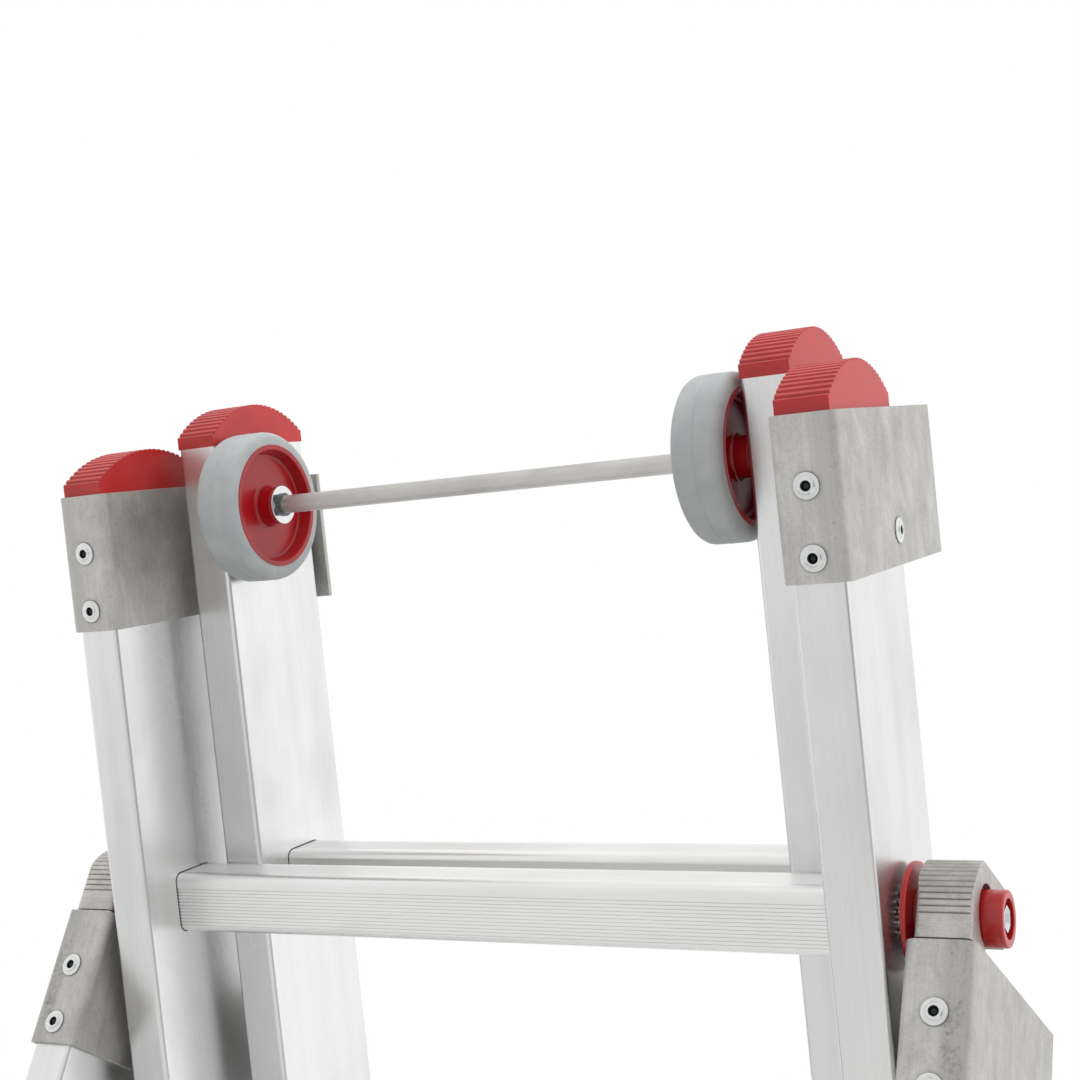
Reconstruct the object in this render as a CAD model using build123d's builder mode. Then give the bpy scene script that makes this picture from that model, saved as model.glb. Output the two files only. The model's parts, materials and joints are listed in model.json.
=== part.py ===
from build123d import *
from dataclasses import dataclass
from math import asin, cos, degrees, radians, sin, sqrt
import os

# Combination ladder of three sections, standing open as a stepladder.
# X runs across the ladder, Y from the stay's feet to the rear feet and Z up from the floor.
# Lengths are in millimetres and angles in degrees.
# Each section is drawn in a frame of its own with the hinge axis as origin: x across, n from the front
# to the rear and v up along the stiles. Right-hand pieces are drawn, left-hand ones are their mirror image.

os.makedirs("parts", exist_ok=True)

# Stiles
stile_width = 25
stile_wall = 1.6
stile_corner = 2.5
top_depth = 82
middle_depth = 87.5
stay_depth = 93

# Nesting of the sections
top_width = 360
section_gap = 10.5
nest_clearance = 0.5

# Rungs
rung_count = 6
rung_pitch = 280
rung_height = 32
rung_depth = 30
rung_wall = 1.6
rung_corner = 4.5
rung_setback = 25
rung_insert = 6
rung_fit = 0.5
rung_groove = 0.5
groove_pitch = 1.8
front_grooves = 12
front_groove_drop = 2
tread_grooves = 9

# Stance
middle_lean = 12.7
opening_angle = 34
stay_setback = 25.3
stay_first_rung = 245
stay_plate_drop = 18.7
stay_end_rise = 0.9

# Stile ends beyond the rungs
middle_head = 228
top_rise = 20
middle_tail = 265

# Caps and feet
cap_side = 6.5
cap_rise = 16
cap_plug = 25
plug_fit = 0.1
rib_pitch = 4
rib_groove = 1.6
sole_cut = 0.8

# Guide brackets
sheet = 3
sheet_fit = 0.1
bracket_height = 73
inner_plate = 80
guide_clearance = 6
hook_overlap = 3.5
stop_gap = 0.3
rivet_drops = (31, 62)
side_rivet_drop = 57
side_rivet_back = 72.5
rivet_radius = 6
rivet_rim = 0.8
rivet_dome = 0.9
rivet_slope = 68
rivet_eye = 2
rivet_shank = 2.5
rivet_fit = 0.1

# Hinge
bush_radius = 12.6
bush_reach = 44.9
bush_chamfer = 1
disc_radius = 24.5
disc_thickness = 2.8
recess_radius = 8.85
recess_depth = 7.5
washer_radius = 17
washer_thickness = 3
washer_teeth = 24
tooth_notch = 1.8
bolt_radius = 4
bolt_fit = 0.2
bolt_flange_radius = 7.6
bolt_flange = 1.5
bolt_head_flats = 12
bolt_head = 5
anchor_length = 36
anchor_fit = 0.1
long_hole_fit = 0.6

# Hinge blocks
block_top = 22.2
block_rear = 29
block_plug = 60
block_groove = 0.85
block_groove_pitch = 3
front_block_grooves = 2
block_seam = 0.8
block_mouth_angle = 35
block_relief = 13.8
block_relief_forward = 1.9
block_relief_rise = 0.8
block_relief_depth = 3
running_fit = 0.08

# Wheels
wheel_radius = 40.8
wheel_width = 25.5
wheel_gap = 3
wheel_drop = 36
wheel_setback = 13
axle_radius = 4.9
tyre_bore = 33.5
tyre_shoulder = 5
tyre_inset = 0.3
tyre_fit = 0.05
lip_width = 2.6
lip_chamfer = 0.5
web_radius = 28.8
web_recess = 6.9
web_fillet = 1.2
hub_radius = 10.8
hub_base = 12.5
hub_fillet = 4
hub_proud = 2.4
hub_gap = 0.4
hub_washer_radius = 10.5
hub_washer = 1.5
hub_nut_flats = 12
hub_nut = 3

# Rung hooks
hook_thickness = 5
hook_gap = 0.5
hook_pivot_setback = 22
hook_pivot_rise = 28
hook_boss = 13
hook_nose = 8
hook_lip = 8
hook_lip_drop = 12
hook_clearance = 0.4
hook_swing = 140
pin_radius = 5
pin_head_radius = 9
pin_head = 3


def cap_radius(depth):
    """Radius of a cap's curved end, over the depth of its stile."""
    return (depth**2 / 4 + cap_rise**2) / (2 * cap_rise)


def arc_inset(depth):
    """Distance from a stile end back to the centre of its cap's curve."""
    return cap_radius(depth) - cap_side - cap_rise


# Half widths over the stiles
top_half = top_width / 2
middle_half = top_half + stile_width + section_gap
stay_half = middle_half + stile_width + section_gap

# Front faces and lower ends of the sections, seen from the hinge axis
middle_front = -rung_setback - rung_depth / 2
top_front = middle_front + rung_setback + rung_depth + nest_clearance
stay_front = -stay_setback
middle_lean_sin = sin(radians(middle_lean))
middle_lean_cos = cos(radians(middle_lean))
stay_lean = opening_angle - middle_lean
stay_lean_sin = sin(radians(stay_lean))
stay_lean_cos = cos(radians(stay_lean))

middle_bottom = -(rung_count - 1) * rung_pitch - middle_tail
middle_arc = middle_bottom + arc_inset(middle_depth)
middle_arc_height = cap_radius(middle_depth) - sole_cut
middle_arc_back = middle_front + middle_depth / 2
hinge_height = middle_arc_height - middle_arc * middle_lean_cos - middle_arc_back * middle_lean_sin

top_arc_height = cap_radius(top_depth) - sole_cut
top_arc_back = top_front + top_depth / 2
top_arc = (top_arc_height - hinge_height - top_arc_back * middle_lean_sin) / middle_lean_cos
top_bottom = top_arc - arc_inset(top_depth)

stay_arc_height = cap_radius(stay_depth) - sole_cut
stay_arc_back = stay_front + stay_depth / 2
stay_arc = (stay_arc_height - hinge_height + stay_arc_back * stay_lean_sin) / stay_lean_cos
stay_bottom = stay_arc - arc_inset(stay_depth)

# The hinge axis stands so that the origin is midway between the outermost feet
stay_toe = stay_front * stay_lean_cos + (stay_bottom - cap_side) * stay_lean_sin
top_heel = (top_front + top_depth) * middle_lean_cos - (top_bottom - cap_side) * middle_lean_sin
hinge_back = -(stay_toe + top_heel) / 2
hinge = (0, hinge_back, hinge_height)
middle_frame = Plane(origin=hinge, x_dir=(1, 0, 0), z_dir=(0, -middle_lean_sin, middle_lean_cos))
stay_frame = Plane(origin=hinge, x_dir=(1, 0, 0), z_dir=(0, stay_lean_sin, stay_lean_cos))


@dataclass
class Section:
    """One ladder section, measured in its own frame."""

    name: str
    frame: Plane
    half_width: float
    front: float
    depth: float
    top: float
    bottom: float
    highest_rung: float

    @property
    def inner(self):
        """Inner face of the right stile."""
        return self.half_width - stile_width

    @property
    def stile_middle(self):
        """Middle of the right stile, across the ladder."""
        return self.half_width - stile_width / 2

    @property
    def rear(self):
        """Rear face of the stiles."""
        return self.front + self.depth

    @property
    def middle(self):
        """Middle of the stiles, from front to rear."""
        return self.front + self.depth / 2

    @property
    def rung_back(self):
        """Middle of the rungs, from front to rear."""
        return self.front + rung_setback + rung_depth / 2

    @property
    def rung_levels(self):
        """Rung axes from the lowest one up."""
        return [self.highest_rung - step * rung_pitch for step in reversed(range(rung_count))]

    def across(self, v):
        """Plane square to the stiles, with sketch axes x and n."""
        return self.frame.offset(v)

    def beside(self, x, n=0, v=0, turn=0):
        """Plane that faces the right-hand side, with sketch axes n and v turned about x."""
        origin = self.frame.from_local_coords((x, n, v))
        rearward = self.frame.y_dir * cos(radians(turn)) + self.frame.z_dir * sin(radians(turn))
        return Plane(origin=origin, x_dir=rearward, z_dir=self.frame.x_dir)

    def facing(self, n, x=0, v=0):
        """Plane that faces the front, with sketch axes x and v."""
        origin = self.frame.from_local_coords((x, n, v))
        return Plane(origin=origin, x_dir=self.frame.x_dir, z_dir=-self.frame.y_dir)


top_end = middle_head + top_rise
stay_plate_top = -stay_plate_drop
stay_end = stay_plate_top + stay_end_rise

middle = Section(
    "middle", middle_frame, middle_half, middle_front, middle_depth, middle_head, middle_bottom, 0
)
top = Section("top", middle_frame, top_half, top_front, top_depth, top_end, top_bottom, 0)
stay = Section(
    "stay", stay_frame, stay_half, stay_front, stay_depth, stay_end, stay_bottom, -stay_first_rung
)

# Hinge stations across the ladder
disc_start = middle.half_width + washer_thickness
sleeve_start = disc_start + disc_thickness
bush_end = middle.half_width + bush_reach
bush_bore = bolt_radius + bolt_fit
rung_end = stile_wall + rung_insert

# The stay's hook meets the rear of the middle stile at the full opening angle
stay_plate_bottom = stay_plate_top - bracket_height
stop_face = middle.rear + stop_gap - stay_plate_bottom * sin(radians(opening_angle))
stay_hook_face = stop_face / cos(radians(opening_angle))
middle_hook_face = top.rear + guide_clearance

# Wheel and hook stations on the top section
axle_back = top.front + wheel_setback
axle_level = top.top - wheel_drop
wheel_middle = top.inner - wheel_gap - wheel_width / 2
hub_inner = -wheel_width / 2 - hub_proud
hub_outer = wheel_width / 2 + wheel_gap - hub_gap
hook_back = top.front + hook_pivot_setback
hook_level = top.rung_levels[0] + rung_height / 2 + hook_pivot_rise
hook_side = top.inner - hook_gap - hook_thickness


def keep(piece, name):
    """Label a finished piece and write it."""
    piece.part.label = name
    export_step(piece.part, f"parts/{name}.step")


def keep_pair(piece, name):
    """Write a right-hand piece and its mirror image for the left side."""
    keep(piece, name.format("right"))
    with BuildPart() as twin:
        mirror(piece.part, about=Plane.YZ)
    keep(twin, name.format("left"))


def stile(section, inner_holes, outer_holes):
    """Right stile: a hollow extrusion, open for the rungs and bored for the pins given as n, v, radius."""
    with BuildPart() as piece:
        with BuildSketch(section.across(section.bottom)):
            with Locations((section.stile_middle, section.middle)):
                RectangleRounded(stile_width, section.depth, stile_corner)
                RectangleRounded(
                    stile_width - 2 * stile_wall,
                    section.depth - 2 * stile_wall,
                    stile_corner - stile_wall,
                    mode=Mode.SUBTRACT,
                )
        extrude(amount=section.top - section.bottom)
        with BuildSketch(section.beside(section.inner)):
            for level in section.rung_levels:
                with Locations((section.rung_back, level)):
                    RectangleRounded(
                        rung_depth + 2 * rung_fit, rung_height + 2 * rung_fit, rung_corner + rung_fit
                    )
            for n, v, radius in inner_holes:
                with Locations((n, v)):
                    Circle(radius + long_hole_fit)
        extrude(amount=2 * stile_wall, mode=Mode.SUBTRACT)
        for n, v, radius in outer_holes:
            with BuildSketch(section.beside(section.half_width)):
                with Locations((n, v)):
                    Circle(radius + long_hole_fit)
            extrude(amount=-2 * stile_wall, mode=Mode.SUBTRACT)
    return piece


def rung(section, level):
    """Ribbed tube from stile to stile."""
    half_length = section.inner + rung_end
    with BuildPart() as piece:
        with BuildSketch(section.beside(-half_length)):
            with Locations((section.rung_back, level)):
                RectangleRounded(rung_depth, rung_height, rung_corner)
                RectangleRounded(
                    rung_depth - 2 * rung_wall,
                    rung_height - 2 * rung_wall,
                    rung_corner - rung_wall,
                    mode=Mode.SUBTRACT,
                )
            with Locations((section.rung_back - rung_depth / 2, level - front_groove_drop)):
                with GridLocations(groove_pitch, groove_pitch, 1, front_grooves):
                    Rectangle(rung_groove, rung_groove, rotation=45, mode=Mode.SUBTRACT)
            with Locations((section.rung_back, level + rung_height / 2)):
                with GridLocations(groove_pitch, groove_pitch, tread_grooves, 1):
                    Rectangle(rung_groove, rung_groove, rotation=45, mode=Mode.SUBTRACT)
        extrude(amount=2 * half_length)
    return piece


def end_cap(section, end, outward):
    """Ribbed plug on a stile end, outward being 1 for a cap at the top and -1 for a foot."""
    radius = cap_radius(section.depth)
    half_angle = degrees(asin(section.depth / 2 / radius))
    ribs = round(2 * radians(half_angle) * radius / rib_pitch)
    step = 2 * half_angle / ribs
    shoulder = end + outward * cap_side
    crown = shoulder + outward * cap_rise
    with BuildPart() as piece:
        with BuildSketch(section.beside(section.inner)):
            with BuildLine():
                Polyline(
                    (section.front, shoulder),
                    (section.front, end),
                    (section.rear, end),
                    (section.rear, shoulder),
                )
                ThreePointArc(
                    (section.rear, shoulder), (section.middle, crown), (section.front, shoulder)
                )
            make_face()
            with Locations((section.middle, end - outward * arc_inset(section.depth))):
                with PolarLocations(
                    radius,
                    ribs,
                    start_angle=90 * outward - half_angle + step / 2,
                    angular_range=2 * half_angle - step,
                    endpoint=True,
                ):
                    Rectangle(rib_groove, rib_groove, rotation=45, mode=Mode.SUBTRACT)
        extrude(amount=stile_width)
        with BuildSketch(section.across(end)):
            with Locations((section.stile_middle, section.middle)):
                RectangleRounded(
                    stile_width - 2 * stile_wall - 2 * plug_fit,
                    section.depth - 2 * stile_wall - 2 * plug_fit,
                    stile_corner - stile_wall,
                )
        extrude(amount=-outward * cap_plug)
        if outward < 0:
            split(bisect_by=Plane.XY, keep=Keep.TOP)
    return piece


def guide_bracket(section, guided, bracket_top, hook_face):
    """Folded sheet round the right stile, with a hook behind the stile of the guided section."""
    inside = section.inner - sheet_fit
    outside = section.half_width + sheet_fit
    face = section.front - sheet_fit
    with BuildPart() as piece:
        with BuildSketch(section.across(bracket_top - bracket_height)):
            with BuildLine():
                FilletPolyline(
                    (inside, section.front + inner_plate),
                    (inside, face),
                    (outside, face),
                    (outside, hook_face),
                    (guided.inner - hook_overlap, hook_face),
                    radius=stile_corner,
                )
                offset(amount=sheet, side=Side.LEFT)
            make_face()
        extrude(amount=bracket_height)
        with BuildSketch(section.facing(section.front)):
            for drop in rivet_drops:
                with Locations((section.stile_middle, bracket_top - drop)):
                    Circle(rivet_shank + rivet_fit)
        extrude(amount=2 * sheet, mode=Mode.SUBTRACT)
        with BuildSketch(section.beside(section.half_width)):
            with Locations((section.front + side_rivet_back, bracket_top - side_rivet_drop)):
                Circle(rivet_shank + rivet_fit)
        extrude(amount=2 * sheet, mode=Mode.SUBTRACT)
    return piece


def bracket_rivets(section, bracket_top):
    """All blind rivets of a section's two guide brackets."""
    skin = sheet_fit + sheet
    side_back = section.front + side_rivet_back
    side_level = bracket_top - side_rivet_drop
    seats = [section.beside(section.half_width + skin, side_back, side_level)]
    for drop in rivet_drops:
        seats.append(section.facing(section.front - skin, section.stile_middle, bracket_top - drop))
    with BuildPart() as piece:
        for seat in seats:
            with BuildSketch(seat):
                Circle(rivet_radius)
            extrude(amount=rivet_rim)
            with BuildSketch(seat.offset(rivet_rim)):
                Circle(rivet_radius)
            extrude(amount=rivet_dome, taper=rivet_slope)
            with BuildSketch(seat):
                Circle(rivet_shank)
            extrude(amount=-sheet)
            with BuildSketch(seat.offset(rivet_rim + rivet_dome)):
                Circle(rivet_eye)
            extrude(amount=-rivet_dome, mode=Mode.SUBTRACT)
        mirror(about=Plane.YZ)
    return piece


# Stiles
hinge_hole = (0, 0, bolt_radius)
axle_hole = (axle_back, axle_level, axle_radius)
pin_hole = (hook_back, hook_level, pin_radius)
keep_pair(stile(middle, [], [hinge_hole]), "middle_{}_stile")
keep_pair(stile(top, [axle_hole, pin_hole], []), "top_{}_stile")
keep_pair(stile(stay, [], []), "stay_{}_stile")

# Rungs, caps and feet
for section in (middle, top, stay):
    for number, level in enumerate(section.rung_levels, start=1):
        keep(rung(section, level), f"{section.name}_rung_{number}")
    keep_pair(end_cap(section, section.bottom, -1), section.name + "_{}_foot")
for section in (middle, top):
    keep_pair(end_cap(section, section.top, 1), section.name + "_{}_cap")

# Guide brackets
keep_pair(guide_bracket(middle, top, middle.top, middle_hook_face), "middle_{}_bracket")
keep_pair(guide_bracket(stay, middle, stay_plate_top, stay_hook_face), "stay_{}_bracket")
keep(bracket_rivets(middle, middle.top), "middle_bracket_rivets")
keep(bracket_rivets(stay, stay_plate_top), "stay_bracket_rivets")

# Hinge bush: a disc against the lock washer and a sleeve that the hinge block turns on
with BuildPart() as hinge_bush:
    with BuildSketch(middle.beside(disc_start)):
        Circle(disc_radius)
    extrude(amount=disc_thickness)
    with BuildSketch(middle.beside(sleeve_start)):
        Circle(bush_radius)
    extrude(amount=bush_end - sleeve_start)
    with BuildSketch(middle.beside(disc_start)):
        Circle(bush_bore)
    extrude(amount=bush_end - disc_start, mode=Mode.SUBTRACT)
    with BuildSketch(middle.beside(bush_end)):
        Circle(recess_radius)
    extrude(amount=-recess_depth, mode=Mode.SUBTRACT)
    chamfer(hinge_bush.edges().group_by(Axis.X)[-1], bush_chamfer)
keep_pair(hinge_bush, "{}_hinge_bush")

with BuildPart() as hinge_bolt:
    head_seat = bush_end - recess_depth
    bolt_tip = middle.inner + rung_end - anchor_length
    with BuildSketch(middle.beside(bolt_tip)):
        Circle(bolt_radius)
    extrude(amount=head_seat - bolt_tip)
    with BuildSketch(middle.beside(head_seat)):
        Circle(bolt_flange_radius)
    extrude(amount=bolt_flange)
    with BuildSketch(middle.beside(head_seat + bolt_flange)):
        RegularPolygon(bolt_head_flats / 2, 6, major_radius=False)
    extrude(amount=bolt_head)
keep_pair(hinge_bolt, "{}_hinge_bolt")

with BuildPart() as lock_washers:
    with BuildSketch(middle.beside(middle.half_width)):
        Circle(washer_radius)
        Circle(bush_bore, mode=Mode.SUBTRACT)
        with PolarLocations(washer_radius, washer_teeth):
            Rectangle(tooth_notch, tooth_notch, rotation=45, mode=Mode.SUBTRACT)
    extrude(amount=washer_thickness)
    mirror(about=Plane.YZ)
keep(lock_washers, "hinge_lock_washers")

with BuildPart() as anchors:
    with BuildSketch(middle.beside(middle.inner + rung_end)):
        RectangleRounded(
            rung_depth - 2 * rung_wall - 2 * anchor_fit,
            rung_height - 2 * rung_wall - 2 * anchor_fit,
            rung_corner - rung_wall,
        )
        Circle(bolt_radius + bolt_fit, mode=Mode.SUBTRACT)
    extrude(amount=-anchor_length)
    mirror(about=Plane.YZ)
keep(anchors, "hinge_anchors")

# Hinge block: a grooved hook over the bush, flush with the stile, on a plug that fills the stile's end
with BuildPart() as hinge_block:
    shoulder = stay.top + block_seam
    eye_radius = bush_radius + running_fit
    apex_back = -sqrt(stay_setback**2 - block_top**2)
    arc_angle = degrees(asin(block_top / stay_setback))
    groove_step = degrees(block_groove_pitch / stay_setback)
    groove_count = int(arc_angle / groove_step)
    with BuildSketch(stay.beside(stay.inner)):
        with BuildLine():
            RadiusArc((stay.front, 0), (apex_back, block_top), stay_setback)
            Polyline(
                (apex_back, block_top),
                (block_rear, block_top),
                (block_rear, shoulder),
                (stay.front, shoulder),
                (stay.front, 0),
            )
        make_face()
        with PolarLocations(
            stay_setback,
            groove_count,
            start_angle=180 - (groove_count - 1) * groove_step,
            angular_range=(groove_count - 1) * groove_step,
            endpoint=True,
        ):
            Rectangle(block_groove, block_groove, rotation=45, mode=Mode.SUBTRACT)
        for step in range(front_block_grooves):
            with Locations((stay.front, -(step + 1) * block_groove_pitch)):
                Rectangle(block_groove, block_groove, rotation=45, mode=Mode.SUBTRACT)
        Circle(eye_radius, mode=Mode.SUBTRACT)
        Rectangle(
            3 * block_rear,
            2 * eye_radius,
            rotation=-block_mouth_angle,
            align=(Align.MIN, Align.CENTER),
            mode=Mode.SUBTRACT,
        )
    extrude(amount=stile_width)
    with BuildSketch(stay.across(shoulder)):
        with Locations((stay.stile_middle, stay.middle)):
            RectangleRounded(stile_width, stay.depth, stile_corner)
    extrude(amount=block_top - shoulder, mode=Mode.INTERSECT)
    with BuildSketch(stay.beside(stay.half_width)):
        with Locations((-block_relief_forward, block_relief_rise)):
            Circle(block_relief)
    extrude(amount=-block_relief_depth, mode=Mode.SUBTRACT)
    with BuildSketch(stay.across(shoulder)):
        with Locations((stay.stile_middle, stay.middle)):
            RectangleRounded(
                stile_width - 2 * stile_wall - 2 * plug_fit,
                stay.depth - 2 * stile_wall - 2 * plug_fit,
                stile_corner - stile_wall,
            )
    extrude(amount=-block_plug)
keep_pair(hinge_block, "stay_{}_hinge_block")

# Wheels: sketch axes are the wheel's axis and its radius
wheel_plane = top.facing(axle_back, wheel_middle, axle_level)
wheel_axis = Axis(wheel_plane.origin, wheel_plane.x_dir)
half_wheel = wheel_width / 2
tyre_half = half_wheel - tyre_inset
lip_base = tyre_bore - lip_width
with BuildPart() as tyre:
    with BuildSketch(wheel_plane):
        with BuildLine():
            Polyline(
                (-tyre_half, tyre_bore + tyre_fit),
                (tyre_half, tyre_bore + tyre_fit),
                (tyre_half, wheel_radius),
                (-tyre_half, wheel_radius),
                close=True,
            )
        tread = make_face()
        fillet(tread.vertices().group_by(Axis.Y)[-1], radius=tyre_shoulder)
    revolve(axis=wheel_axis)
keep_pair(tyre, "{}_wheel_tyre")

with BuildPart() as rim:
    with BuildSketch(wheel_plane) as rim_profile:
        with BuildLine():
            Polyline(
                (hub_inner, axle_radius + running_fit),
                (hub_inner, hub_radius),
                (web_recess - half_wheel, hub_base),
                (web_recess - half_wheel, web_radius),
                (lip_chamfer - half_wheel, lip_base),
                (-half_wheel, lip_base + lip_chamfer),
                (-half_wheel, tyre_bore),
                (half_wheel, tyre_bore),
                (half_wheel, lip_base + lip_chamfer),
                (half_wheel - lip_chamfer, lip_base),
                (half_wheel - web_recess, web_radius),
                (half_wheel - web_recess, hub_base),
                (hub_outer, hub_radius),
                (hub_outer, axle_radius + running_fit),
                close=True,
            )
        make_face()
        fillet(rim_profile.vertices().group_by(Axis.Y)[3], radius=web_fillet)
        fillet(rim_profile.vertices().group_by(Axis.Y)[2], radius=hub_fillet)
    revolve(axis=wheel_axis)
keep_pair(rim, "{}_wheel_rim")

with BuildPart() as axle:
    axle_half = top.inner + rung_end
    with BuildSketch(top.beside(-axle_half, axle_back, axle_level)):
        Circle(axle_radius)
    extrude(amount=2 * axle_half)
keep(axle, "wheel_axle")

washer_side = wheel_middle + hub_inner - hub_gap - hub_washer
with BuildPart() as hub_washers:
    with BuildSketch(top.beside(washer_side, axle_back, axle_level)):
        Circle(hub_washer_radius)
        Circle(axle_radius + running_fit, mode=Mode.SUBTRACT)
    extrude(amount=hub_washer)
    mirror(about=Plane.YZ)
keep(hub_washers, "hub_washers")

with BuildPart() as hub_nuts:
    with BuildSketch(top.beside(washer_side, axle_back, axle_level)):
        RegularPolygon(hub_nut_flats / 2, 6, major_radius=False)
        Circle(axle_radius + running_fit, mode=Mode.SUBTRACT)
    extrude(amount=-hub_nut)
    mirror(about=Plane.YZ)
keep(hub_nuts, "hub_nuts")

# Rung hooks, thrown back: drawn as they sit on a rung, in a frame turned back about the pivot
rung_top = -hook_pivot_rise + hook_clearance
rung_face = middle.front + rung_setback - hook_back - hook_clearance
with BuildPart() as rung_hook:
    with BuildSketch(top.beside(hook_side, hook_back, hook_level, -hook_swing)):
        Circle(hook_boss)
        with Locations((rung_face, rung_top + hook_nose - hook_clearance)):
            Circle(hook_nose)
        make_hull()
        with Locations((rung_face, rung_top)):
            Rectangle(rung_depth, hook_nose, align=(Align.MIN, Align.MIN))
        with Locations((rung_face, rung_top + hook_nose)):
            Rectangle(hook_lip, hook_lip_drop + hook_nose, align=(Align.MAX, Align.MAX))
        with Locations((rung_face, rung_top)):
            Rectangle(rung_depth, rung_depth, align=(Align.MIN, Align.MAX), mode=Mode.SUBTRACT)
        Circle(pin_radius + running_fit, mode=Mode.SUBTRACT)
    extrude(amount=hook_thickness)
keep_pair(rung_hook, "{}_rung_hook")

with BuildPart() as hook_pins:
    head_side = hook_side - running_fit - pin_head
    with BuildSketch(top.beside(head_side, hook_back, hook_level)):
        Circle(pin_head_radius)
    extrude(amount=pin_head)
    with BuildSketch(top.beside(head_side + pin_head, hook_back, hook_level)):
        Circle(pin_radius)
    extrude(amount=top.inner + rung_end - head_side - pin_head)
    mirror(about=Plane.YZ)
keep(hook_pins, "hook_pins")
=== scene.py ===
import json
import logging
import math
from collections.abc import Sequence
from dataclasses import dataclass, replace
from enum import Enum
from typing import NamedTuple

import bmesh
import bpy
from bmesh.types import BMesh, BMFace, BMVert
from bpy.types import ID, Material, Mesh, NodeOutputs, NodeSocket, NodeTree, Object
from mathutils import Matrix, Vector


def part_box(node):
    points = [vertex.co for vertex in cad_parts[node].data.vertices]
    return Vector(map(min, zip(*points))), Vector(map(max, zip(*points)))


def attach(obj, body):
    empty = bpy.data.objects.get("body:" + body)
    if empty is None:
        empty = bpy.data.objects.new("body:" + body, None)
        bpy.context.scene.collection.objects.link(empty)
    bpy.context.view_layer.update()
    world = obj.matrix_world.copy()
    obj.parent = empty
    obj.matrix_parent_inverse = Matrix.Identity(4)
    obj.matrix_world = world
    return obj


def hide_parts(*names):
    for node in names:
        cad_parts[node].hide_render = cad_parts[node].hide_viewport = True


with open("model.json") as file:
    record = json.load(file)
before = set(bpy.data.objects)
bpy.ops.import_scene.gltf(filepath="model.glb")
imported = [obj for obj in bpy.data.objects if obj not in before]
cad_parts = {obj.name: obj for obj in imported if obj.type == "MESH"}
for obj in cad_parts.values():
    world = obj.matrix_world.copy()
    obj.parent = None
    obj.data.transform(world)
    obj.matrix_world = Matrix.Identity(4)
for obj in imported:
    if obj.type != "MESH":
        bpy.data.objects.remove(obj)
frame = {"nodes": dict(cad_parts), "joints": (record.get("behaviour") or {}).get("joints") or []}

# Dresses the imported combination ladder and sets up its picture.
# X runs across the ladder, Y from the stay's feet to the rear feet and Z up from the floor.
# Sizes are in millimetres where nothing else is said, and MM turns them into the scene's metres.

log = logging.getLogger("ladder")

MM = 0.001
# Points count as one when they are this near: on a turned shape, on a copied solid, and on the circle of a corner.
SEAM, WELD, NEAR = 0.001, 0.003, 0.01
# Faces of a copied solid count as one flat face below this bend, in degrees.
FLAT = 0.3

Pair = tuple[float, float]
Triple = tuple[float, float, float]


def linear(code: str) -> tuple[float, float, float, float]:
    """Turns an sRGB colour into the linear values that shaders take.

    Args:
        code: six hex digits after a hash sign.

    Returns:
        Linear red, green and blue, and an alpha of one.
    """
    parts = [int(code[i : i + 2], 16) / 255 for i in (1, 3, 5)]
    red, green, blue = [p / 12.92 if p <= 0.04045 else ((p + 0.055) / 1.055) ** 2.4 for p in parts]
    return red, green, blue, 1.0


def per(size_mm: float) -> float:
    """Gives the texture scale at which one feature is this many millimetres wide."""
    return 1 / (size_mm * MM)


def add_node(tree: NodeTree, kind: str, fill: dict | None = None, **settings: object) -> NodeOutputs:
    """Adds a node with its settings and links.

    Args:
        tree: node tree that gets the node.
        kind: Blender's name for the node type.
        fill: values or other nodes' outputs, by the name or number of the input they go to.
        **settings: properties of the node itself.

    Returns:
        The new node's outputs.
    """
    node = tree.nodes.new(kind)
    for name, value in settings.items():
        setattr(node, name, value)
    for key, value in (fill or {}).items():
        if isinstance(value, NodeSocket):
            tree.links.new(value, node.inputs[key])
        else:
            node.inputs[key].default_value = value
    return node.outputs


def along(facing: Vector) -> Matrix:
    """Gives the turn that lays a turned piece's Z axis along a direction."""
    return facing.to_track_quat("Z", "Y").to_matrix().to_4x4()


class Side(Enum):
    """Side of the ladder, seen from the stay, with its sign along X."""

    LEFT = -1
    RIGHT = 1

    @property
    def label(self) -> str:
        """Name of the side in nodes, bodies and joints."""
        return self.name.lower()

    @property
    def outward(self) -> Vector:
        """Direction away from the ladder's middle."""
        return Vector((self.value, 0, 0))


class Lean(Enum):
    """How a piece lies: the turn about X that stands it upright, in degrees, and its long axis then."""

    REAR = (-12.7, "Z")
    STAY = (21.3, "Z")
    CROSS = (0.0, "X")

    @property
    def turn(self) -> Triple:
        """Turn of a pattern that follows the piece, in radians."""
        return math.radians(self.value[0]), 0.0, 0.0

    def grain(self, tree: NodeTree, upright: NodeSocket, width: float, length: float, **fill: float) -> NodeSocket:
        """Makes an uneven grain that is drawn out along the piece.

        Args:
            tree: node tree that gets it.
            upright: coordinates that are turned with the piece.
            width: width of a feature.
            length: length of a feature.
            **fill: other values of its noise.

        Returns:
            The grain.
        """
        wide, long = per(width), per(length)
        scale = (long, wide, wide) if self.value[1] == "X" else (wide, wide, long)
        drawn = add_node(tree, "ShaderNodeMapping", {"Vector": upright, "Scale": scale})[0]
        return add_node(tree, "ShaderNodeTexNoise", {"Vector": drawn, "Scale": 1.0, **fill})[0]

    @property
    def axes(self) -> Matrix:
        """Axes of a leaning section: across the ladder, to the section's rear, and up along its stiles."""
        return Matrix.Rotation(-math.radians(self.value[0]), 4, "X")

    def place(self, across: float, back: float, up: float, facing: Vector) -> Matrix:
        """Gives the seat of a turned piece: its place on a section from the hinge, and what its axis faces there."""
        spot = Matrix.Translation(hinge_point()) @ self.axes @ Matrix.Translation(Vector((across, back, up)) * MM)
        return spot @ along(facing)


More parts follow.
